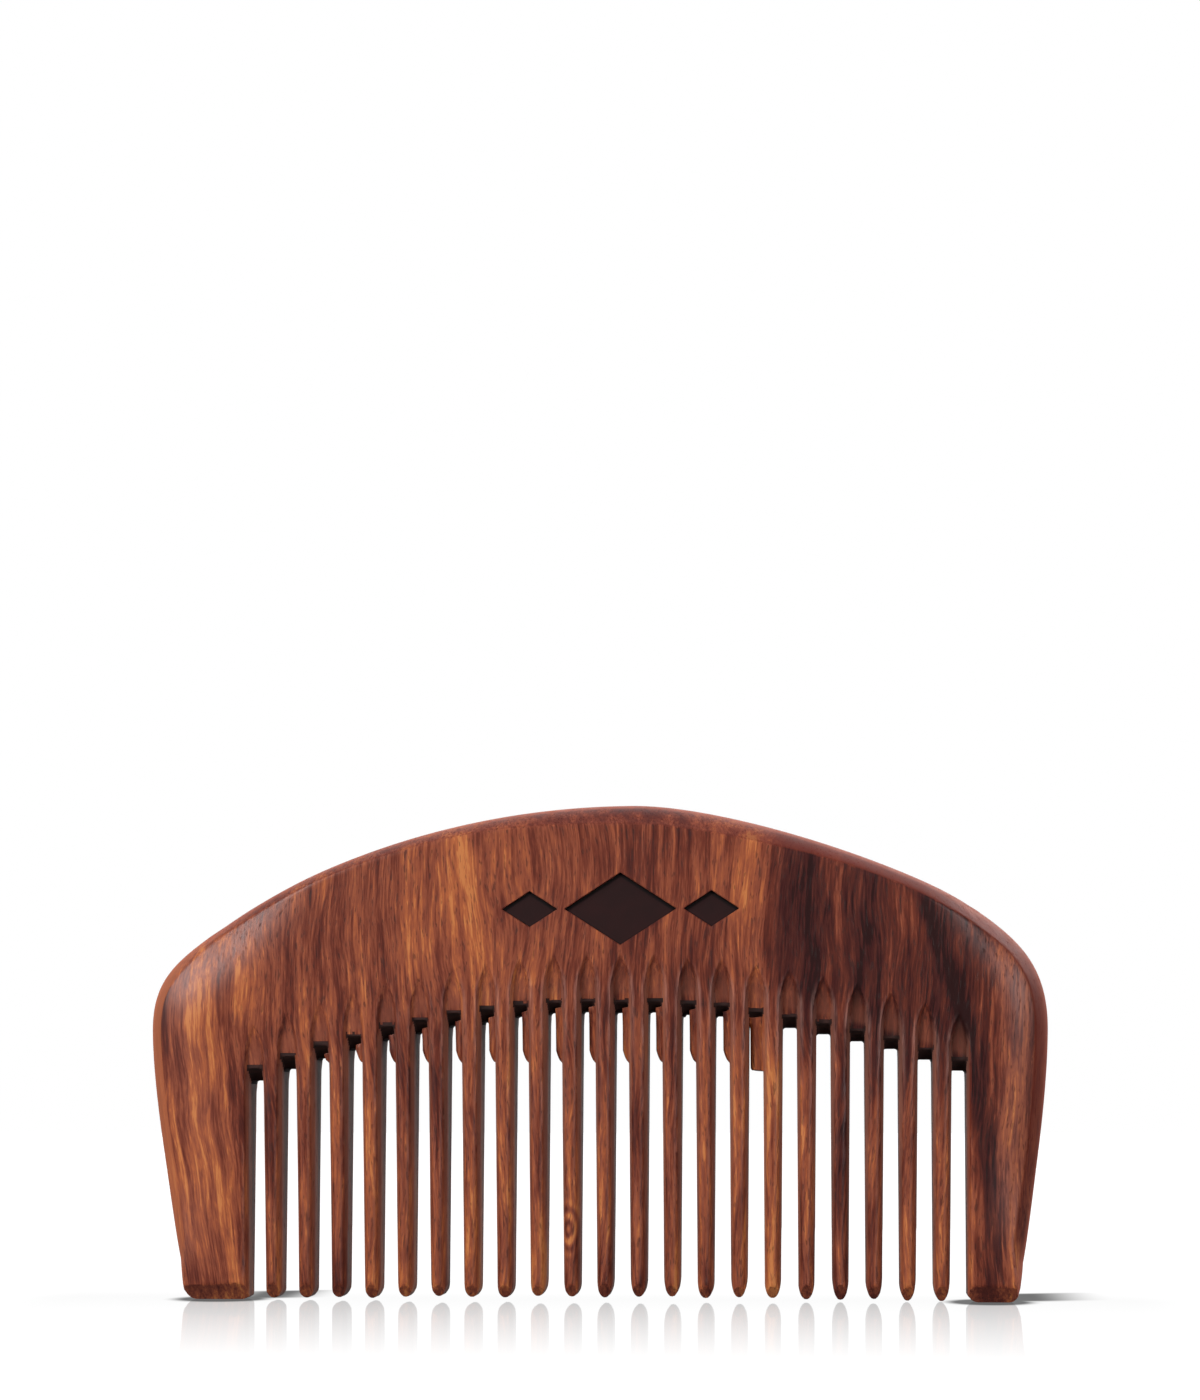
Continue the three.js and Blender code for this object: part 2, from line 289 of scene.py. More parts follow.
def board_field(x, y, z, half):
    """The board before sawing: two faces, crowned along the teeth and scooped at the slots, and a rim."""
    edge = outline_distance(x, z)
    ends = end_fall(edge, x, z)
    waver = WAVER * (np.sin(0.31 * x + 0.17 * z) + np.sin(0.19 * x - 0.33 * z + 2.0))
    slot, tooth = nearest_slot(x), nearest_tooth(x)
    u = x - slot_x[slot]
    top = slot_top[slot] + slot_extra[slot]
    in_row = (x > slot_x[0]) & (x < slot_x[-1])
    crown = np.clip(np.abs(x - tooth_x[tooth]) / tooth_half_width(z), 0, 1.2) ** 2
    crown = TOOTH_CROWN * crown * smooth_step(0.0, 4.0, top - z) * in_row
    front = half + waver - ends - crown - scoop(u, z, top, SCOOP_DEPTH * scoop_share[slot])
    back = half - ends - crown - scoop(u, z, top - ROOF_FALL, SCOOP_DEPTH * BACK_SCOOP)
    slab = soft_max(-y - front, y - back, 0.3)

    width = rim_width(x, z)
    depth = width * (RIM_PITCH + 0.5 * smooth_step(38, 46, np.abs(x)))
    depth = np.minimum(depth, RIM_LIMIT * (half - ends))
    rim = ((edge + width) * depth + (np.abs(y) - half + ends) * width) / np.hypot(width, depth)
    return soft_max(soft_max(edge, rim, RIM_ROUND), slab, FACE_ROUND)


def slot_field(x, y, z, half):
    """Negative inside the slots, and the height above their ends, which fall towards the back."""
    slot = nearest_slot(x)
    u = x - slot_x[slot]
    slot_half = pitch / 2 - tooth_half_width(z)
    proud = ledge_width[slot] * smooth_step(LEDGE_FRONT, LEDGE_FRONT + 0.4, y)
    proud = proud * np.sqrt(np.clip((z - ledge_end[slot]) / ledge_curve[slot], 0, 1))
    proud = proud * smooth_step(*LEDGE_DROP, slot_top[slot] + slot_extra[slot] - z)
    wall = np.maximum(-u - slot_half, u - slot_half + proud)
    above = z - roof_height(slot, y, half)
    return round_max(wall, above, ROOF_ROUND), above


def foot_field(x, z):
    """Rounded tips on the teeth, and flat feet with cut corners on the guards."""
    tooth = nearest_tooth(x)
    off = x - tooth_x[tooth] - tooth_sway[tooth] * (1 - tooth_taper(z))
    below = (tip_lift[tooth] - z) / tip_stretch[tooth]
    tip = round_max(np.abs(off) - tooth_half_width(z), below, TIP_RADIUS)
    left_corner = (LEFT_TOE - x) * 0.87 - z * 0.49
    right_corner = (x - RIGHT_TOE) * 0.92 - z * 0.38
    left_toe = soft_max(left_corner, (x - left_inner + 0.4) * 0.86 - z * 0.5, TOE_ROUND)
    right_toe = soft_max(right_corner, (right_inner + 0.7 - x) * 0.86 - z * 0.5, TOE_ROUND)
    between = (x > left_inner + 0.2) & (x < right_inner - 0.2)
    toe = np.where(x < 0, soft_max(left_toe, -z, FOOT_ROUND), soft_max(right_toe, -z, FOOT_ROUND))
    return np.where(between, tip, toe)


def comb_field(x, y, z):
    """Negative inside the comb's wood and positive outside it, roughly in millimetres."""
    half = half_thickness(z)
    opening, above = slot_field(x, y, z, half)
    rounding = TOOTH_ROUND[1] + (TOOTH_ROUND[0] - TOOTH_ROUND[1]) * tooth_taper(z)
    rounding = 0.1 + rounding * smooth_step(0.1, 1.5, -above)
    solid = round_max(board_field(x, y, z, half), -opening, rounding)
    solid = np.where(z < FOOT_ZONE, np.maximum(solid, foot_field(x, z)), solid)

    # The front chamfer across feet and tips, and the eased edge behind them.
    run = np.array([half_thickness(np.array(CHAMFER_HEIGHT)) + CHAMFER_FOOT, CHAMFER_HEIGHT])
    run = run / np.hypot(*run)
    front_chamfer = -(y - CHAMFER_FOOT) * run[1] - z * run[0]
    back_chamfer = (y - 1.7) * 0.8 - (z - 0.1) * 0.6
    return soft_max(soft_max(solid, front_chamfer, 0.06), back_chamfer, 0.6)


def lozenge_distance(node, x, z):
    """Distance from the edge of an inlay's pocket, in x and z."""
    low, high = box_mm(node)
    middle, size = (low + high) / 2, (high - low) / 2
    clearance = 0.05 * math.hypot(size[0], size[2])
    a, b = size[0] + clearance / size[2], size[2] + clearance / size[0]
    return (np.abs(x - middle[0]) / a + np.abs(z - middle[2]) / b - 1) * a * b / math.hypot(a, b)


def full_field(x, y, z):
    """The comb's wood with the inlays' pockets sunk in its front face."""
    solid = comb_field(x, y, z)
    floor = y - (-HALF_BACK + POCKET_DEPTH)
    for node in INLAYS:
        solid = np.maximum(solid, -np.maximum(lozenge_distance(node, x, z), floor))
    return solid


# ---- Meshing a field ---------------------------------------------------------------------------------


def slope(field, points):
    """The field's unit gradient at some points."""
    step = 0.02
    parts = []
    for axis in range(3):
        ahead, behind = points.copy(), points.copy()
        ahead[:, axis] += step
        behind[:, axis] -= step
        parts.append(field(*ahead.T) - field(*behind.T))
    out = np.array(parts).T
    return out / np.maximum(np.linalg.norm(out, axis=1, keepdims=True), 1e-9)


CENTRE_PULL = 0.03    # how strongly a vertex is drawn to the middle of its cell's crossings


def contour(field, low, high, cell):
    """Mesh a field's zero surface with one vertex in each cell that it passes through.

    Each vertex lies where the tangent planes of its cell's crossings meet, so sharp edges stay sharp.
    Returns the vertices, their cells' (i, j, k) and the quads."""
    count = np.ceil((np.array(high) - np.array(low)) / cell).astype(int) + 1
    axes = [low[a] + cell * np.arange(count[a]) for a in range(3)]
    values = np.empty(count)
    for i, x in enumerate(axes[0]):
        y, z = np.meshgrid(axes[1], axes[2], indexing="ij")
        values[i] = field(np.full(y.shape, x), y, z)
    inside = values < 0

    quads, flips, points, normals = [], [], [], []
    cell_count = count - 1
    for axis in range(3):
        here = [slice(None)] * 3
        there = [slice(None)] * 3
        here[axis], there[axis] = slice(None, -1), slice(1, None)
        at = np.argwhere(inside[tuple(here)] != inside[tuple(there)])
        step = np.zeros(3, int)
        step[axis] = 1
        start = np.array([axes[a][at[:, a]] for a in range(3)]).T
        end = start + step * cell
        f0, f1 = values[tuple(at.T)], values[tuple((at + step).T)]
        t0, t1 = np.zeros(len(at)), np.ones(len(at))
        for _ in range(3):
            t = t0 + (t1 - t0) * np.clip(f0 / (f0 - f1), 0.02, 0.98)
            p = start + (end - start) * t[:, None]
            f = field(*p.T)
            same = (f < 0) == (f0 < 0)
            t0, f0 = np.where(same, t, t0), np.where(same, f, f0)
            t1, f1 = np.where(same, t1, t), np.where(same, f1, f)
        t = t0 + (t1 - t0) * np.clip(f0 / (f0 - f1), 0, 1)
        p = start + (end - start) * t[:, None]
        b, c = (axis + 1) % 3, (axis + 2) % 3
        around = []
        for db, dc in ((-1, -1), (0, -1), (0, 0), (-1, 0)):
            near = at.copy()
            near[:, b] += db
            near[:, c] += dc
            around.append(np.ravel_multi_index(near.T, cell_count))
        quads.append(np.array(around).T)
        flips.append(~inside[tuple(at.T)])
        points.append(p)
        normals.append(slope(field, p))

    quads, flips = np.concatenate(quads), np.concatenate(flips)
    points, normals = np.concatenate(points), np.concatenate(normals)
    used, index = np.unique(quads, return_inverse=True)
    index = index.reshape(quads.shape)
    cell_at = np.array(np.unravel_index(used, cell_count)).T
    centre = np.array(low) + cell * (cell_at + 0.5)

    total = len(used)
    tally = np.zeros(total)
    mean = np.zeros((total, 3))
    matrix = np.zeros((total, 3, 3))
    right = np.zeros((total, 3))
    for corner in range(4):
        who = index[:, corner]
        away = points - centre[who]
        reach = np.einsum("ij,ij->i", normals, away)
        tally += np.bincount(who, minlength=total)
        for a in range(3):
            mean[:, a] += np.bincount(who, away[:, a], total)
            right[:, a] += np.bincount(who, normals[:, a] * reach, total)
            for b in range(3):
                matrix[:, a, b] += np.bincount(who, normals[:, a] * normals[:, b], total)
    mean /= tally[:, None]
    matrix /= tally[:, None, None]
    right /= tally[:, None]
    matrix += CENTRE_PULL * np.eye(3)
    right += CENTRE_PULL * mean
    place = np.linalg.solve(matrix, right[:, :, None])[:, :, 0]
    place = np.clip(place, -0.6 * cell, 0.6 * cell)
    index[flips] = index[flips][:, ::-1]
    return centre + place, cell_at, index


SHARP = math.radians(27)     # edges bent by more than this are shaded as sharp
SLOT_END_SIDE = 0.12             # how far the near black of the slots' ends, saw scorch and painted shade, runs past a slot's walls
SLOT_END_REACH = 0.3             # and above and below its end


def make_piece(name, vertices, quads, nodes):
    """A smooth closed mesh piece that stands for some CAD nodes."""
    used, local = np.unique(quads, return_inverse=True)
    mesh = bpy.data.meshes.new(name)
    mesh.from_pydata((vertices[used] * MM).tolist(), [], local.reshape(-1, 4).tolist())
    close_seams(mesh)
    mesh.shade_smooth()
    mesh.set_sharp_from_angle(angle=SHARP)
    piece = bpy.data.objects.new(name, mesh)
    bpy.context.scene.collection.objects.link(piece)
    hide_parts(*nodes)
    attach(piece, "root")
    return piece


def mark_slot_ends(piece):
    """Give the slots' ends the second material."""
    mesh = piece.data
    centres = np.empty(len(mesh.polygons) * 3)
    mesh.polygons.foreach_get("center", centres)
    x, y, z = centres.reshape(-1, 3).T / MM
    slot = nearest_slot(x)
    roof = roof_height(slot, y, half_thickness(z))
    # These faces are painted near black: saw scorch and painted shade.
    scorched_and_shaded = (np.abs(x - slot_x[slot]) < SLOT_HALF + SLOT_END_SIDE) & (np.abs(z - roof) < SLOT_END_REACH)
    mesh.polygons.foreach_set("material_index", scorched_and_shaded.astype(int))


def close_seams(mesh):
    """Close each open ring of a mesh with one flat face."""
    work = bmesh.new()
    work.from_mesh(mesh)
    rings = [edge for edge in work.edges if edge.is_boundary]
    if rings:
        bmesh.ops.holes_fill(work, edges=rings, sides=0)
    work.to_mesh(mesh)
    work.free()


# How far left of the slots' middles the teeth are parted: a ledge belongs to the tooth to its right.
PART_ASIDE, PART_AT_LEDGE, PART_AT_WEB = 0.1, 0.4, 0.7


def comb_pieces():
    """The back, the guards and the teeth, parted on their CAD seats."""
    margin = 3 * CELL
    low = np.array(cad_low) / MM - margin
    high = np.array(cad_high) / MM + margin
    vertices, cell_at, quads = contour(full_field, low, high, CELL)
    dividers = slot_x - PART_ASIDE
    dividers[list(LEDGE_SLOTS)] = slot_x[list(LEDGE_SLOTS)] - PART_AT_LEDGE
    dividers[WEB_SLOT] = slot_x[WEB_SLOT] - PART_AT_WEB
    seats = np.concatenate([[guard_seat[0]], tooth_seat, [guard_seat[1]]])
    seat_row = np.floor((seats - low[2]) / CELL).astype(int)
    column = np.searchsorted(dividers, vertices[:, 0])
    on_seat = cell_at[:, 2] == seat_row[column]
    vertices[on_seat, 2] = seats[column[on_seat]]
    quad_column = np.searchsorted(dividers, vertices[quads, 0].mean(axis=1))
    below = cell_at[quads, 2].min(axis=1) < seat_row[quad_column]
    made = {"back": make_piece("comb_back_wood", vertices, quads[~below], ["comb_back"])}
    nodes = ["left_guard", *TEETH, "right_guard"]
    for number, node in enumerate(nodes):
        mine = below & (quad_column == number)
        made[node] = make_piece(node + "_wood", vertices, quads[mine], [node])
    return made


# ---- Materials ---------------------------------------------------------------------------------------


class Graph:
    """A material's node tree, with short calls for the nodes that the materials here are made of."""

    def __init__(self, name):
        self.material = bpy.data.materials.new(name)
        self.material.use_nodes = True
        self.tree = self.material.node_tree
        self.tree.nodes.clear()
        output = self.tree.nodes.new("ShaderNodeOutputMaterial")
        self.shader = self.tree.nodes.new("ShaderNodeBsdfPrincipled")
        self.tree.links.new(self.shader.outputs[0], output.inputs["Surface"])
        coordinates = self.tree.nodes.new("ShaderNodeTexCoord")
        scale = self.tree.nodes.new("ShaderNodeVectorMath")
        scale.operation = "MULTIPLY"
        scale.inputs[1].default_value = (1 / MM,) * 3
        self.link(coordinates.outputs["Object"], scale.inputs[0])
        self.place = scale.outputs[0]

    def link(self, value, socket):
        """Join an output to a socket, or set the socket where the value is a plain one."""
        if isinstance(value, bpy.types.NodeSocket):
            self.tree.links.new(value, socket)
        else:
            socket.default_value = value

    def maths(self, operation, a, b=0.0, clamp=False):
        node = self.tree.nodes.new("ShaderNodeMath")
        node.operation, node.use_clamp = operation, clamp
        self.link(a, node.inputs[0])
        self.link(b, node.inputs[1])
        return node.outputs[0]

    def stretch(self, vector, scale, offset=(0, 0, 0)):
        """A vector scaled and moved along each axis."""
        node = self.tree.nodes.new("ShaderNodeMapping")
        node.inputs["Scale"].default_value = scale
        node.inputs["Location"].default_value = offset
        self.link(vector, node.inputs["Vector"])
        return node.outputs[0]

    def noise(self, vector, detail=2.0, roughness=0.5):
        node = self.tree.nodes.new("ShaderNodeTexNoise")
        node.inputs["Scale"].default_value = 1.0
        node.inputs["Detail"].default_value = detail
        node.inputs["Roughness"].default_value = roughness
        self.link(vector, node.inputs["Vector"])
        return node.outputs["Fac"]

    def span(self, value, low, high, to_low=0.0, to_high=1.0, smooth=True):
        """A value's range mapped onto another range, held at its ends."""
        node = self.tree.nodes.new("ShaderNodeMapRange")
        node.interpolation_type = "SMOOTHSTEP" if smooth else "LINEAR"
        self.link(value, node.inputs["Value"])
        for name, number in zip(("From Min", "From Max", "To Min", "To Max"), (low, high, to_low, to_high)):
            node.inputs[name].default_value = number
        return node.outputs[0]

    def ramp(self, value, stops):
        """A colour or grey for each part of the range 0 to 1."""
        node = self.tree.nodes.new("ShaderNodeValToRGB")
        elements = node.color_ramp.elements
        while len(elements) < len(stops):
            elements.new(0.5)
        for element, (place, colour) in zip(elements, stops):
            element.position = place
            element.color = (*colour, 1.0) if isinstance(colour, tuple) else (colour,) * 3 + (1.0,)
        self.link(value, node.inputs["Fac"])
        return node.outputs["Color"]

    def mix(self, share, paint, tint):
        """A paint with a share of a plain colour mixed in."""
        node = self.tree.nodes.new("ShaderNodeMix")
        node.data_type = "RGBA"
        self.link(share, node.inputs[0])
        self.link(paint, node.inputs[6])
        self.link((*tint, 1.0), node.inputs[7])
        return node.outputs[2]

    def mix_value(self, share, a, b):
        node = self.tree.nodes.new("ShaderNodeMix")
        node.data_type = "FLOAT"
        self.link(share, node.inputs[0])
        self.link(a, node.inputs[2])
        self.link(b, node.inputs[3])
        return node.outputs[0]

    def hypot(self, a, b):
        squares = self.maths("ADD", self.maths("MULTIPLY", a, a), self.maths("MULTIPLY", b, b))
        return self.maths("SQRT", squares)

    def steps(self, value, edges, levels, blend=0.3):
        """A level for each stretch that the edges divide a value's range into, blended across each edge."""
        total = levels[0]
        for edge, before, after in zip(edges, levels, levels[1:]):
            change = self.span(value, edge - blend, edge + blend, 0.0, after - before)
            total = self.maths("ADD", total, change)
        return total

    def split(self, vector):
        node = self.tree.nodes.new("ShaderNodeSeparateXYZ")
        self.link(vector, node.inputs[0])
        return node.outputs

    def join(self, x, y, z):
        node = self.tree.nodes.new("ShaderNodeCombineXYZ")
        for value, socket in zip((x, y, z), node.inputs):
            self.link(value, socket)
        return node.outputs[0]

    def facing(self, axis):
        """How squarely a surface faces along an axis, from 0 to 1, whichever way round."""
        node = self.tree.nodes.new("ShaderNodeNewGeometry")
        return self.maths("ABSOLUTE", self.split(node.outputs["Normal"])[axis])

    def bump(self, height, strength, distance):
        node = self.tree.nodes.new("ShaderNodeBump")
        node.inputs["Strength"].default_value = strength
        node.inputs["Distance"].default_value = distance
        self.link(height, node.inputs["Height"])
        self.link(node.outputs[0], self.shader.inputs["Normal"])


def colour(code):
    """A linear colour from the usual six hex digits."""
    channels = [int(code[i:i + 2], 16) / 255 for i in (0, 2, 4)]
    return tuple(c / 12.92 if c <= 0.04045 else ((c + 0.055) / 1.055) ** 2.4 for c in channels)


# Tone across the comb's width, from 0 at the left end to 1 at the right: the board's own colour figure.
BOARD_TONES = [
    (0.00, 0.68), (0.06, 0.70), (0.12, 0.66), (0.17, 0.60), (0.22, 0.52), (0.28, 0.56), (0.32, 0.66),
    (0.355, 0.66), (0.372, 0.80), (0.39, 0.68), (0.41, 0.60), (0.455, 0.54), (0.50, 0.49), (0.56, 0.52),
    (0.61, 0.54), (0.65, 0.56), (0.674, 0.68), (0.69, 0.58), (0.707, 0.28), (0.724, 0.18), (0.764, 0.30),
    (0.80, 0.24), (0.836, 0.35), (0.875, 0.26), (0.90, 0.32), (0.93, 0.42), (0.96, 0.56), (1.00, 0.52),
]
# Tone of the left guard, each tooth in turn and the right guard.
ROW_TONES = [
    0.66,
    0.53, 0.55, 0.50, 0.78, 0.72, 0.55, 0.84, 0.66, 0.69, 0.60, 0.55,
    0.54, 0.66, 0.68, 0.80, 1.00, 0.68, 0.42, 0.62, 0.70, 0.62,
    0.62,
]
# The wood's colour for each tone, from its darkest to its lightest.
WOOD_TONES = [
    (0.00, colour("200b0b")), (0.10, colour("321110")), (0.25, colour("3d1a15")), (0.35, colour("471e16")),
    (0.46, colour("56261b")), (0.55, colour("622f20")), (0.65, colour("6e3827")), (0.76, colour("7c4029")),
    (0.87, colour("8d4c2c")), (1.00, colour("a26338")),
]


def lean_grain(g, x, y, z):
    """Where the grain's noises are read: it drifts a little, and leans in at the left guard's foot."""
    drift = g.noise(g.stretch(g.place, (0.045, 0.05, 0.03)), 2.0)
    ripple = g.noise(g.stretch(g.place, (0.25, 0.25, 0.11), (7, 3, 1)), 2.0)
    drift = g.span(drift, 0.25, 0.75, -1.8, 1.8, False)
    shift = g.maths("ADD", drift, g.span(ripple, 0.25, 0.75, -0.14, 0.14, False))
    low = g.maths("MINIMUM", g.maths("SUBTRACT", z, 20.0), 0.0)
    lean = g.maths("MULTIPLY", g.span(x, -43.0, -35.0, 0.13, 0.0), low)
    across = g.maths("ADD", g.maths("ADD", x, shift), lean)
    return across, g.join(across, y, z)


def height_above_slots(g, x, z):
    """Height above the arch that the slots' ends lie on."""
    arch = g.maths("SUBTRACT", x, ARCH_CENTRE)
    arch = g.maths("MULTIPLY", g.maths("MULTIPLY", arch, arch), -ARCH_DROP / ARCH_REACH**2)
    return g.maths("SUBTRACT", z, g.maths("ADD", arch, ARCH_TOP))


def wood_tone(g, x, z, across, grain, above_slots, streak, fibre):
    """How light the wood is, from 0 to 1."""
    # The board's figure above, and each tooth's own tone below, where hand and light have worn them apart.
    wander = g.maths("MULTIPLY", g.maths("SUBTRACT", streak, 0.5), 3.0)
    figure = g.maths("ADD", across, g.maths("MULTIPLY", wander, 0.5))
    board = g.ramp(g.span(figure, -HALF_WIDTH, HALF_WIDTH, smooth=False), BOARD_TONES)
    row = g.steps(x, slot_x, ROW_TONES)
    board = g.mix_value(g.span(above_slots, -9.0, 1.0, 0.75, 0.0), board, row)

    patch = g.noise(g.stretch(grain, (0.22, 0.20, 0.06), (0, 0, 4)), 3.0)
    tone = g.maths("ADD", board, g.span(patch, 0.25, 0.75, -0.26, 0.26, False))
    tone = g.maths("ADD", tone, g.span(streak, 0.25, 0.75, -0.30, 0.30, False))
    tone = g.maths("ADD", tone, g.span(fibre, 0.25, 0.75, -0.24, 0.24, False))

    # Handling has polished the teeth and guards lighter towards their tips.
    tone = g.maths("ADD", tone, g.span(z, 6.0, 24.0, 0.07, 0.0))

    # Dark veins are the narrow middles of a slow noise, strongest where the board is dark.
    vein = g.noise(g.stretch(grain, (0.42, 0.3, 0.035), (5, 2, 6)), 3.0)
    vein = g.span(g.maths("ABSOLUTE", g.maths("SUBTRACT", vein, 0.5)), 0.0, 0.04, 1.0, 0.0)
    vein = g.maths("MULTIPLY", vein, g.span(board, 0.25, 0.6, 0.22, 0.06, False))
    tone = g.maths("SUBTRACT", tone, vein)

    # One broad dark vein wanders down the right guard.
    bend = g.maths("SUBTRACT", z, 7.0)
    middle = g.maths("SUBTRACT", 43.6, g.maths("MULTIPLY", g.maths("MULTIPLY", bend, bend), 0.0055))
    off = g.maths("ABSOLUTE", g.maths("SUBTRACT", g.maths("ADD", x, wander), middle))
    tone = g.maths("SUBTRACT", tone, g.span(off, 0.3, 1.6, 0.38, 0.0))

    # A small knot in one tooth: rings that the grain runs round.
    knot_x, knot_z = tooth_x[9] - 0.3, 8.0
    ring = g.hypot(g.maths("SUBTRACT", x, knot_x), g.maths("MULTIPLY", g.maths("SUBTRACT", z, knot_z), 0.5))
    rings = g.maths("SINE", g.maths("ADD", g.maths("MULTIPLY", ring, 8.0), g.maths("MULTIPLY", fibre, 4.0)))
    tone = g.maths("ADD", tone, g.maths("MULTIPLY", rings, g.span(ring, 0.9, 2.0, 0.25, 0.0)))

    # Pale flecks lie along the grain, where the fibres' ends catch the light.
    fleck = g.span(g.noise(g.stretch(grain, (4.0, 4.0, 0.7), (8, 1, 3)), 2.0), 0.54, 0.72)
    return g.maths("ADD", tone, g.maths("MULTIPLY", fleck, 0.10), clamp=True)


def wood_places(g, x, z, above_slots):
    """Where the tooth row, its sawn walls and the bevelled rim are."""
    in_row = g.maths("ABSOLUTE", g.maths("SUBTRACT", x, ROW_CENTRE))
    in_row = g.span(in_row, ROW_HALF + 0.9, ROW_HALF + 1.3, 1.0, 0.0)
    in_row = g.maths("MULTIPLY", in_row, g.span(above_slots, SCOOP_RISE, SCOOP_RISE + 0.6, 1.0, 0.0))
    # The sawn walls. Their colour below is partly painted light.
    sawn_and_lit = g.maths("MULTIPLY", g.span(g.facing(0), 0.80, 0.97), in_row)
    sawn_and_lit = g.maths("MULTIPLY", sawn_and_lit, g.span(z, 3.0, 22.0, 0.3, 1.0, False))
    rim = g.maths("MULTIPLY", g.span(g.facing(1), 0.80, 0.90, 1.0, 0.0), g.maths("SUBTRACT", 1.0, in_row))
    return in_row, sawn_and_lit, rim


def paint_rim(g, paint, rim, x, z):
    """The rim is redder and darker towards the right: partly its end grain, partly painted shade where it
    turns away from the lamps. It is paler on its crown and down the left flank, which are painted
    highlights from the top lamp and the key.
    """
    # Partly painted shade: the rim darkens to deep red towards the right, where it turns away from the
    # lamps.
    depth = g.maths("ADD", g.span(x, -46.0, -36.0, 0.0, 0.35), g.span(x, 8.0, 28.0, 0.0, 0.45))
    depth = g.maths("MULTIPLY", depth, g.span(z, 6.0, 30.0, 0.25, 1.0))
    paint = g.mix(g.maths("MULTIPLY", rim, depth), paint, colour("561a0c"))
    # Painted highlight: paler where the rim turns up towards the top lamp.
    crown = g.maths("MULTIPLY", rim, g.span(g.facing(1), 0.30, 0.55, 1.0, 0.0))
    paint = g.mix(g.maths("MULTIPLY", crown, 0.7), paint, colour("8a4430"))
    # Painted highlight: the left flank is paler, as if lit by the key.
    flank_highlight = g.maths("MULTIPLY", rim, g.span(x, -48.0, -44.0, 0.7, 0.0))
    return g.mix(flank_highlight, paint, colour("945234"))


def paint_scoops(g, paint, in_row, x, above_slots, fibre):
    """The scoops' floors are cut across the grain and lose its figure. The pale lines along the ridges
    beside them are a painted highlight.
    """
    beside = g.maths("PINGPONG", g.maths("SUBTRACT", x, slot_x[0]), pitch / 2)
    rise = g.span(above_slots, 0.0, SCOOP_RISE, smooth=False)
    width = g.maths("MULTIPLY", g.maths("SUBTRACT", 1.0, g.maths("POWER", rise, 2.2)), SCOOP_HALF)
    inside = g.maths("SUBTRACT", width, beside)
    on_face = g.maths("MULTIPLY", in_row, g.span(g.facing(1), 0.3, 0.6))
    floor = g.maths("MULTIPLY", g.span(above_slots, -0.3, 0.6), g.span(above_slots, 1.0, 4.5, 1.0, 0.0))
    floor = g.maths("MULTIPLY", g.maths("MULTIPLY", floor, g.span(inside, 0.2, 0.6)), on_face)
    paint = g.mix(g.maths("MULTIPLY", floor, 0.38), paint, colour("7a4636"))
    # Painted highlight: pale lines along the ridges beside the scoops, fainter at the left.
    ridge_highlight = g.maths("MULTIPLY", g.span(above_slots, -7.0, 0.0), g.span(above_slots, 0.5, 4.2, 1.0, 0.0))
    ridge_highlight = g.maths("MULTIPLY", ridge_highlight, g.span(g.maths("ABSOLUTE", inside), 0.0, 0.38, 1.0, 0.0))
    ridge_highlight = g.maths("MULTIPLY", ridge_highlight, g.maths("MULTIPLY", on_face, g.span(x, -25.0, -8.0, 0.15, 1.0)))
    ridge_highlight = g.maths("MULTIPLY", ridge_highlight, g.span(fibre, 0.35, 0.6, 0.2, 1.0))
    return g.mix(g.maths("MULTIPLY", ridge_highlight, 0.36), paint, colour("8e6a62"))


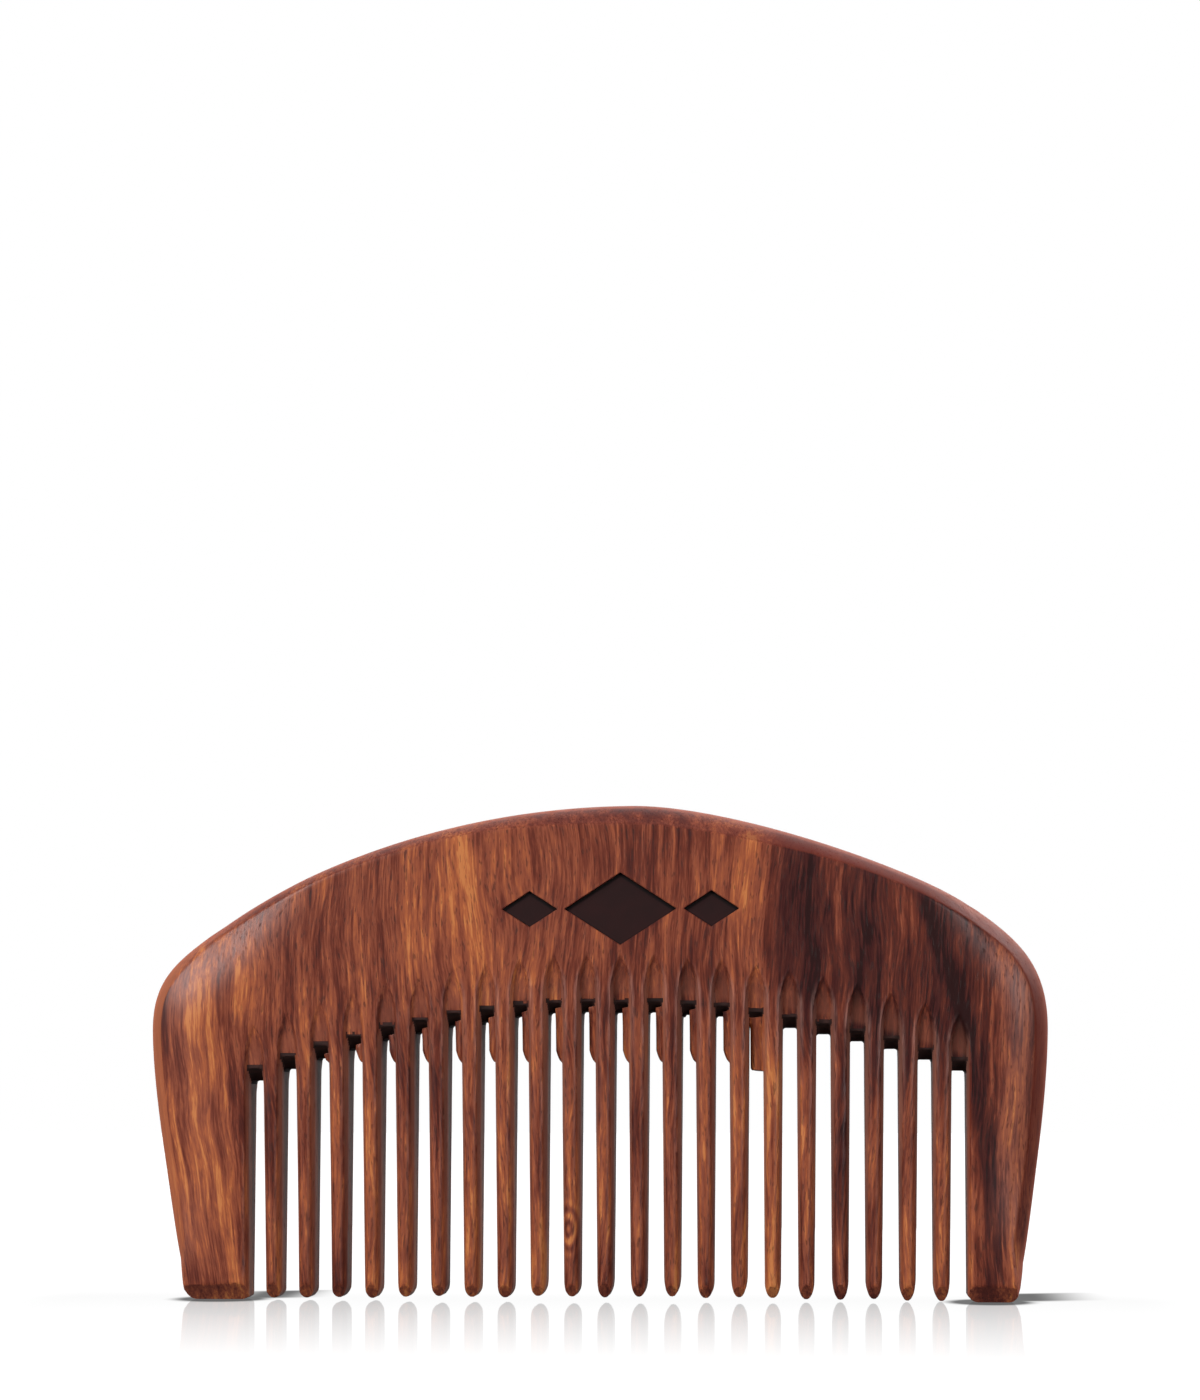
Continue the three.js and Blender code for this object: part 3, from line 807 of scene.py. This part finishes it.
def wood_material():
    """Oiled sheesham: streaks along Z in reds and browns, with dark veins, short pores and a satin skin."""
    g = Graph("oiled_sheesham")
    x, y, z = g.split(g.place)
    across, grain = lean_grain(g, x, y, z)
    above_slots = height_above_slots(g, x, z)
    streak = g.noise(g.stretch(grain, (1.3, 1.0, 0.07), (3, 9, 2)), 3.0, 0.6)
    fibre = g.noise(g.stretch(grain, (4.5, 3.5, 0.30), (1, 5, 8)), 3.0, 0.65)
    paint = g.ramp(wood_tone(g, x, z, across, grain, above_slots, streak, fibre), WOOD_TONES)

    # Pores are short dark flecks along the grain. They are fainter towards the left end, faded there as a
    # painted highlight where the shoulder's sheen washes them out.
    pore = g.span(g.noise(g.stretch(grain, (5.0, 5.0, 0.8), (2, 2, 2)), 1.0), 0.60, 0.70)
    pore = g.maths("MULTIPLY", pore, g.span(x, -45.0, -34.0, 0.3, 1.0))
    paint = g.mix(g.maths("MULTIPLY", pore, 0.5), paint, colour("1c0e0c"))

    in_row, sawn_and_lit, rim = wood_places(g, x, z, above_slots)
    # The slots' sawn walls are a lighter grey-brown: partly the sawn wood's own colour, partly painted
    # light and sheen for the light that reaches into the slots.
    paint = g.mix(g.maths("MULTIPLY", sawn_and_lit, 0.6), paint, colour("7c5144"))
    paint = paint_rim(g, paint, rim, x, z)
    # The downward-facing chamfers across the feet and tips are painted darker: partly painted shade under
    # them, partly end grain, which drinks more oil.
    end_grain_and_shade = g.maths("MULTIPLY", g.span(g.facing(2), 0.42, 0.52), g.span(z, 2.4, 3.0, 1.0, 0.0))
    paint = g.mix(g.maths("MULTIPLY", end_grain_and_shade, 0.35), paint, colour("341614"))
    paint = paint_scoops(g, paint, in_row, x, above_slots, fibre)
    g.link(paint, g.shader.inputs["Base Color"])

    rough = g.maths("ADD", g.span(streak, 0.3, 0.7, 0.32, 0.42, False), g.maths("MULTIPLY", pore, 0.2))
    worked = g.maths("MAXIMUM", g.maths("MULTIPLY", sawn_and_lit, 0.15), g.maths("MULTIPLY", rim, 0.3))
    g.link(g.maths("ADD", rough, worked), g.shader.inputs["Roughness"])
    g.shader.inputs["Specular IOR Level"].default_value = 0.16
    relief = g.maths("SUBTRACT", g.maths("MULTIPLY", fibre, 0.35), g.maths("MULTIPLY", pore, 0.4))
    g.bump(relief, 0.35, 0.00005)
    return g.material


def scorch_and_shade_material():
    """Wood at the slots' ends, near black: scorched by the saw, and painted with the shade that falls into
    the slots there.
    """
    g = Graph("saw_scorch_and_shade")
    mark = g.noise(g.stretch(g.place, (0.8, 2.4, 2.4)), 3.0)
    g.link(g.ramp(mark, [(0.3, colour("1c1413")), (0.7, colour("33201d"))]), g.shader.inputs["Base Color"])
    g.link(g.span(mark, 0.3, 0.7, 0.62, 0.8, False), g.shader.inputs["Roughness"])
    g.shader.inputs["Specular IOR Level"].default_value = 0.1
    g.bump(mark, 0.3, 0.00005)
    return g.material


def fill_material(node):
    """The flat dark resin of an inlay, with painted shade, near black, along its pocket's upper edges."""
    g = Graph("dark_resin_fill_" + node)
    low, high = box_mm(node)
    middle, size = (low + high) / 2, (high - low) / 2
    x, y, z = g.split(g.place)
    across = g.maths("MULTIPLY", g.maths("ABSOLUTE", g.maths("SUBTRACT", x, middle[0])), 1 / size[0])
    up = g.maths("MULTIPLY", g.maths("SUBTRACT", z, middle[2]), 1 / size[2])
    inside = g.maths("SUBTRACT", 1.0, g.maths("ADD", across, up))
    inside = g.maths("MULTIPLY", inside, size[0] * size[2] / math.hypot(size[0], size[2]))
    # Painted shade: near black along the pocket's upper edges, where the wood above would shade the fill.
    upper_edge_shade = g.span(inside, 0.22, 0.5, 1.0, 0.0)
    mottle = g.noise(g.stretch(g.place, (0.5, 0.5, 0.5)), 4.0, 0.6)
    paint = g.ramp(mottle, [(0.3, colour("1d0f0f")), (0.7, colour("231212"))])
    g.link(g.mix(upper_edge_shade, paint, colour("0a0505")), g.shader.inputs["Base Color"])
    g.link(g.span(mottle, 0.3, 0.7, 0.7, 0.8, False), g.shader.inputs["Roughness"])
    g.shader.inputs["Specular IOR Level"].default_value = 0.08
    g.bump(mottle, 0.15, 0.00004)
    return g.material


# ---- Stage, light and camera -------------------------------------------------------------------------

CAMERA_DISTANCE = 0.330
CAMERA_YAW = math.radians(4)          # the comb's right end is turned a little towards the camera
CAMERA_HEIGHT = 0.021
FRAME_HEIGHT = 0.15555                # what the frame's long side spans at the comb
CAMERA_SHIFT = 0.2935                 # the comb stands low in the photographed frame
CAMERA_ASIDE = 0.0005
SENSOR = 36.0
MIRROR = 0.52                         # the floor's reflection beside the comb
MIRROR_REACH = 100                    # millimetres in front of the comb at which it has faded out
MIRROR_BEHIND = 40                    # the same behind the comb
MIRROR_ASIDE = (8, 30)                # and past its ends: where it starts to fade, and where it is gone
SHADE = 0.88                          # depth of the painted contact shade round each foot


def make_camera():
    """A level camera just above the floor, in front of the comb."""
    data = bpy.data.cameras.new("camera")
    data.sensor_width = SENSOR
    data.lens = SENSOR * CAMERA_DISTANCE / FRAME_HEIGHT
    data.shift_y = CAMERA_SHIFT
    camera = bpy.data.objects.new("camera", data)
    middle = Vector((CAMERA_ASIDE, 0, CAMERA_HEIGHT))
    away = Vector((math.sin(CAMERA_YAW), -math.cos(CAMERA_YAW), 0)) * CAMERA_DISTANCE
    camera.location = middle + away
    camera.rotation_euler = (math.radians(90), 0, CAMERA_YAW)
    bpy.context.scene.collection.objects.link(camera)
    bpy.context.scene.camera = camera


def area_light(name, place, target, size, power):
    """A soft rectangular lamp turned towards a point."""
    data = bpy.data.lights.new(name, "AREA")
    data.shape, data.size, data.size_y = "RECTANGLE", *size
    data.energy = power
    light = bpy.data.objects.new(name, data)
    light.location = place
    light.rotation_euler = (Vector(target) - Vector(place)).to_track_quat("-Z", "Y").to_euler()
    bpy.context.scene.collection.objects.link(light)


def make_lights():
    """A key from the left, softer fill from the right, and weak lamps above and behind for the edges."""
    aim = (0, 0, 0.03)
    area_light("key_left", (-0.55, -0.50, 0.38), aim, (0.30, 0.35), 7.6)
    area_light("strip_left", (-0.36, -0.50, 0.20), aim, (0.08, 0.25), 1.0)
    area_light("fill_right", (0.50, -0.62, 0.22), aim, (0.20, 0.30), 2.8)
    area_light("strip_right", (0.36, -0.48, 0.10), aim, (0.06, 0.40), 0.9)
    area_light("top", (0.0, 0.30, 0.50), aim, (0.70, 0.30), 2.5)
    area_light("back_right", (0.40, 0.30, 0.42), aim, (0.25, 0.25), 3.5)
    world = bpy.data.worlds.new("studio")
    world.use_nodes = True
    background = world.node_tree.nodes["Background"]
    background.inputs["Color"].default_value = (1, 1, 1, 1)
    background.inputs["Strength"].default_value = 0.20
    bpy.context.scene.world = world


def make_sheet(name, corners, material):
    """A flat white sheet that is lit by itself, so that it throws no light onto the comb."""
    mesh = bpy.data.meshes.new(name)
    mesh.from_pydata(corners, [], [(0, 1, 2, 3)])
    mesh.materials.append(material)
    sheet = bpy.data.objects.new(name, mesh)
    bpy.context.scene.collection.objects.link(sheet)
    sheet.visible_diffuse = False
    return sheet


def foot_shade(g, x, y, foot, reach):
    """Painted contact shade: a narrow oval under a guard's foot, and a wider one that fades out to its
    right.
    """
    left, right = foot
    under_x = g.maths("DIVIDE", g.maths("SUBTRACT", x, (left + right) / 2), (right - left) / 2 + 3.4)
    under_y = g.maths("DIVIDE", g.maths("ADD", y, 1.0), 7.0)
    under = g.span(g.hypot(under_x, under_y), 0.6, 1.0, 1.0, 0.0)
    rise = g.maths("MULTIPLY", g.maths("SUBTRACT", x, right), 0.35)
    behind_y = g.maths("DIVIDE", g.maths("SUBTRACT", g.maths("SUBTRACT", y, 7.0), rise), 9.0)
    behind = g.span(g.maths("ABSOLUTE", behind_y), 0.6, 1.0, 1.0, 0.0)
    behind = g.maths("MULTIPLY", behind, g.span(x, right + reach * 0.2, right + reach, 1.0, 0.0))
    behind = g.maths("MULTIPLY", behind, g.span(x, left, right, 0.0, 1.0))
    return g.maths("MULTIPLY", g.maths("MAXIMUM", under, behind), SHADE)


def floor_material():
    """White acrylic: it mirrors the comb faintly close by, and carries painted shade under the feet."""
    g = Graph("white_acrylic")
    x, y, z = g.split(g.place)
    left_shade = foot_shade(g, x, y, (LEFT_TOE, left_inner), 9.0)
    right_shade = foot_shade(g, x, y, (right_inner, RIGHT_TOE), 12.0)
    bright = g.maths("SUBTRACT", 1.0, g.maths("MAXIMUM", left_shade, right_shade))
    mirror = g.span(y, -MIRROR_REACH, 0, 0.0, MIRROR, False)
    mirror = g.maths("MULTIPLY", mirror, g.span(y, 0, MIRROR_BEHIND, 1.0, 0.0))
    fade, gone = (HALF_WIDTH + past for past in MIRROR_ASIDE)
    mirror = g.maths("MULTIPLY", mirror, g.span(g.maths("ABSOLUTE", x), fade, gone, 1.0, 0.0))
    # The glow is a little over white, to make up for what the gloss loses at this low angle.
    glow = g.tree.nodes.new("ShaderNodeEmission")
    g.link(g.maths("MULTIPLY", bright, 1.15), glow.inputs["Strength"])
    gloss = g.tree.nodes.new("ShaderNodeBsdfGlossy")
    gloss.inputs["Roughness"].default_value = 0.04
    both = g.tree.nodes.new("ShaderNodeMixShader")
    g.link(g.maths("MULTIPLY", mirror, bright), both.inputs[0])
    g.link(glow.outputs[0], both.inputs[1])
    g.link(gloss.outputs[0], both.inputs[2])
    g.link(both.outputs[0], g.tree.nodes["Material Output"].inputs["Surface"])
    return g.material


def backdrop_material():
    """Plain white that gives out its own light."""
    g = Graph("white_backdrop")
    g.shader.inputs["Base Color"].default_value = (0, 0, 0, 1)
    g.shader.inputs["Specular IOR Level"].default_value = 0
    g.shader.inputs["Emission Color"].default_value = (1, 1, 1, 1)
    g.shader.inputs["Emission Strength"].default_value = 1.0
    return g.material


def make_stage():
    """A white floor with white walls round it. Only the wall behind is mirrored in the comb."""
    side, near, far, tall = 4.0, -2.0, 2.5, 4.0
    corners = [(-side, near), (side, near), (side, far), (-side, far)]
    make_sheet("floor", [(x, y, 0) for x, y in corners], floor_material()).visible_glossy = False
    white = backdrop_material()
    for name, a, b in (("front", 0, 1), ("right", 1, 2), ("backdrop", 2, 3), ("left", 3, 0)):
        foot = [(*corners[a], 0), (*corners[b], 0)]
        wall = make_sheet(name, foot + [(*corners[b], tall), (*corners[a], tall)], white)
        wall.visible_glossy = wall.visible_shadow = name == "backdrop"


# ---- The scene ---------------------------------------------------------------------------------------

make_camera()
make_lights()
make_stage()

wood = wood_material()
scorched_and_shaded = scorch_and_shade_material()
for node, piece in comb_pieces().items():
    piece.data.materials.append(wood)
    # The second material paints the slots' ends near black: saw scorch and painted shade.
    piece.data.materials.append(scorched_and_shaded)
    if node == "back":
        mark_slot_ends(piece)

for node in INLAYS:
    fill = fill_material(node)
    for material_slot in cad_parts[node].material_slots:
        material_slot.material = fill

bpy.context.scene.view_settings.view_transform = "Standard"
